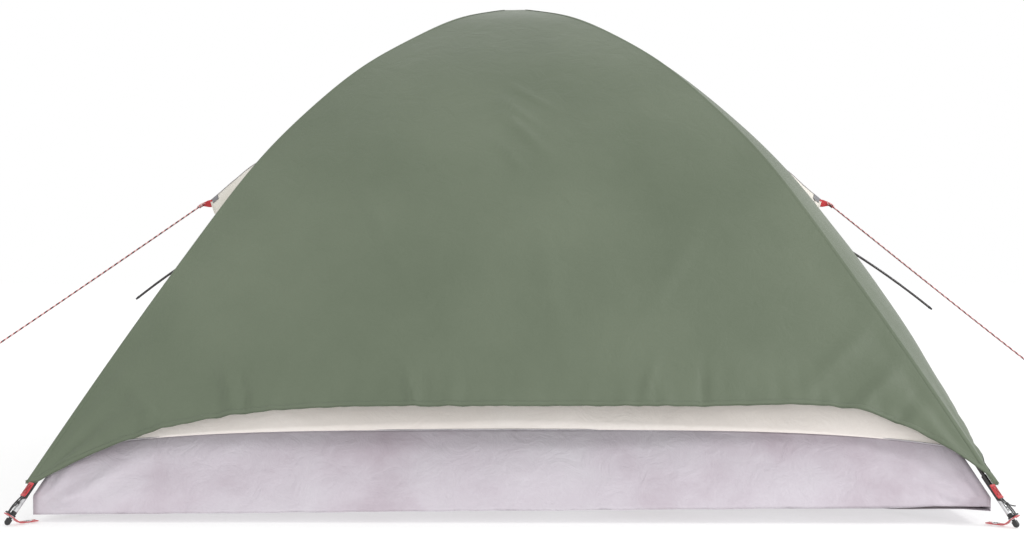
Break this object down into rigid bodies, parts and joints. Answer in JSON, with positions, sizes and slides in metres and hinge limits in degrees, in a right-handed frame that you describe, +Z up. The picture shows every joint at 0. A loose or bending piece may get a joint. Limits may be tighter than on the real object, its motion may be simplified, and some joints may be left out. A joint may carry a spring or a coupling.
{
  "type": "dome tent",
  "caption": "Pitched crossing-pole dome tent with flysheet, inner tent with tub floor, porch canopy, side vents, zipped doors and side guy lines.",
  "frame": {"origin": "on the ground below the crossing of the poles, the middle of the tub floor's underside", "axes": "+Z up, +Y towards the doorway and porch canopy, +X to the right of a viewer at the plain rear side, along the brow pole"},
  "size_m": [3.4867, 2.1322, 1.2494],
  "materials": {
    "fly_fabric": "matte coated polyester, fine plain weave",
    "inner_fabric": "uncoated breathable polyester, cream",
    "tub_fabric": "coated polyethylene tub, pale lilac grey, slight sheen",
    "hood_fabric": "cream coated polyester",
    "mesh": "fine black netting",
    "red_webbing": "woven red webbing, 20 mm",
    "fibreglass": "black pultruded fibreglass",
    "steel": "plated steel tube",
    "zip_metal": "black lacquered zinc",
    "black_plastic": "moulded black nylon",
    "elastic": "braided black elastic cord",
    "guy_cord": "braided red cord with dark flecks"
  },
  "bodies": {
    "tent": {"brow_end_caps": "black_plastic", "brow_ferrules": "steel", "brow_rod_1": "fibreglass", "brow_rod_2": "fibreglass", "brow_rod_3": "fibreglass", "brow_rod_4": "fibreglass", "corner_elastics": "elastic", "corner_hooks": "black_plastic", "corner_straps": "red_webbing", "fly_front": "fly_fabric", "fly_left": "fly_fabric", "fly_rear": "fly_fabric", "fly_right": "fly_fabric", "fly_tabs": "red_webbing", "guy_end_left": "guy_cord", "guy_end_right": "guy_cord", "guy_line_left": "guy_cord", "guy_line_right": "guy_cord", "hood_loop_left": "red_webbing", "hood_loop_right": "red_webbing", "inner_front": "inner_fabric", "inner_left": "inner_fabric", "inner_rear": "inner_fabric", "inner_right": "inner_fabric", "lantern_loop": "red_webbing", "pole_a_rod_1": "fibreglass", "pole_a_rod_2": "fibreglass", "pole_a_rod_3": "fibreglass", "pole_a_rod_4": "fibreglass", "pole_a_rod_5": "fibreglass", "pole_a_rod_6": "fibreglass", "pole_a_rod_7": "fibreglass", "pole_b_rod_1": "fibreglass", "pole_b_rod_2": "fibreglass", "pole_b_rod_3": "fibreglass", "pole_b_rod_4": "fibreglass", "pole_b_rod_5": "fibreglass", "pole_b_rod_6": "fibreglass", "pole_b_rod_7": "fibreglass", "pole_clips": "black_plastic", "pole_end_tubes": "steel", "pole_feet": "black_plastic", "pole_ferrules": "steel", "porch_canopy": "fly_fabric", "strap_eyelets": "steel", "tub_floor": "tub_fabric", "vent_hood_left": "hood_fabric", "vent_hood_right": "hood_fabric", "vent_mesh_left": "mesh", "vent_mesh_right": "mesh"},
    "fly_door": {"fly_door": "fly_fabric"},
    "inner_door": {"inner_door": "inner_fabric", "inner_door_mesh": "mesh"},
    "fly_zip_slider": {"fly_zip_slider": "zip_metal"},
    "fly_zip_puller": {"fly_zip_puller": "zip_metal"},
    "inner_zip_slider": {"inner_zip_slider": "zip_metal"},
    "inner_zip_puller": {"inner_zip_puller": "zip_metal"},
    "lantern_hook": {"lantern_hook": "steel"},
    "guy_runner_left": {"guy_runner_left": "black_plastic"},
    "guy_runner_right": {"guy_runner_right": "black_plastic"}
  },
  "joints": [
    {"name": "fly_door_swing", "type": "hinge", "parent": "tent", "child": "fly_door", "pos_m": [-0.3225, 0.85526, 0.43148], "axis": [0, -0.4943, 0.8693], "range_deg": [0, 100]},
    {"name": "inner_door_drop", "type": "hinge", "parent": "tent", "child": "inner_door", "pos_m": [0, 0.86329, 0.19], "axis": [1, 0, 0], "range_deg": [0, 70]},
    {"name": "fly_zip_slide", "type": "slide", "parent": "tent", "child": "fly_zip_slider", "axis": [0, -0.4871, 0.8733], "range_m": [0, 0.2]},
    {"name": "fly_zip_puller_swing", "type": "hinge", "parent": "fly_zip_slider", "child": "fly_zip_puller", "pos_m": [0.334, 0.93983, 0.29585], "axis": [1, 0, 0], "range_deg": [0, 150]},
    {"name": "inner_zip_slide", "type": "slide", "parent": "tent", "child": "inner_zip_slider", "axis": [0, -0.5291, 0.8486], "range_m": [0, 0.2]},
    {"name": "inner_zip_puller_swing", "type": "hinge", "parent": "inner_zip_slider", "child": "inner_zip_puller", "pos_m": [0.304, 0.83394, 0.26635], "axis": [1, 0, 0], "range_deg": [0, 150]},
    {"name": "lantern_hook_swing", "type": "hinge", "parent": "tent", "child": "lantern_hook", "pos_m": [0, 0, 1.16], "axis": [1, 0, 0], "range_deg": [-60, 60]},
    {"name": "guy_runner_left_slide", "type": "slide", "parent": "tent", "child": "guy_runner_left", "axis": [0.6926, 0.4631, 0.553], "range_m": [-0.18, 0.6]},
    {"name": "guy_runner_right_slide", "type": "slide", "parent": "tent", "child": "guy_runner_right", "axis": [-0.6288, 0.4992, 0.5962], "range_m": [-0.18, 0.5]}
  ]
}
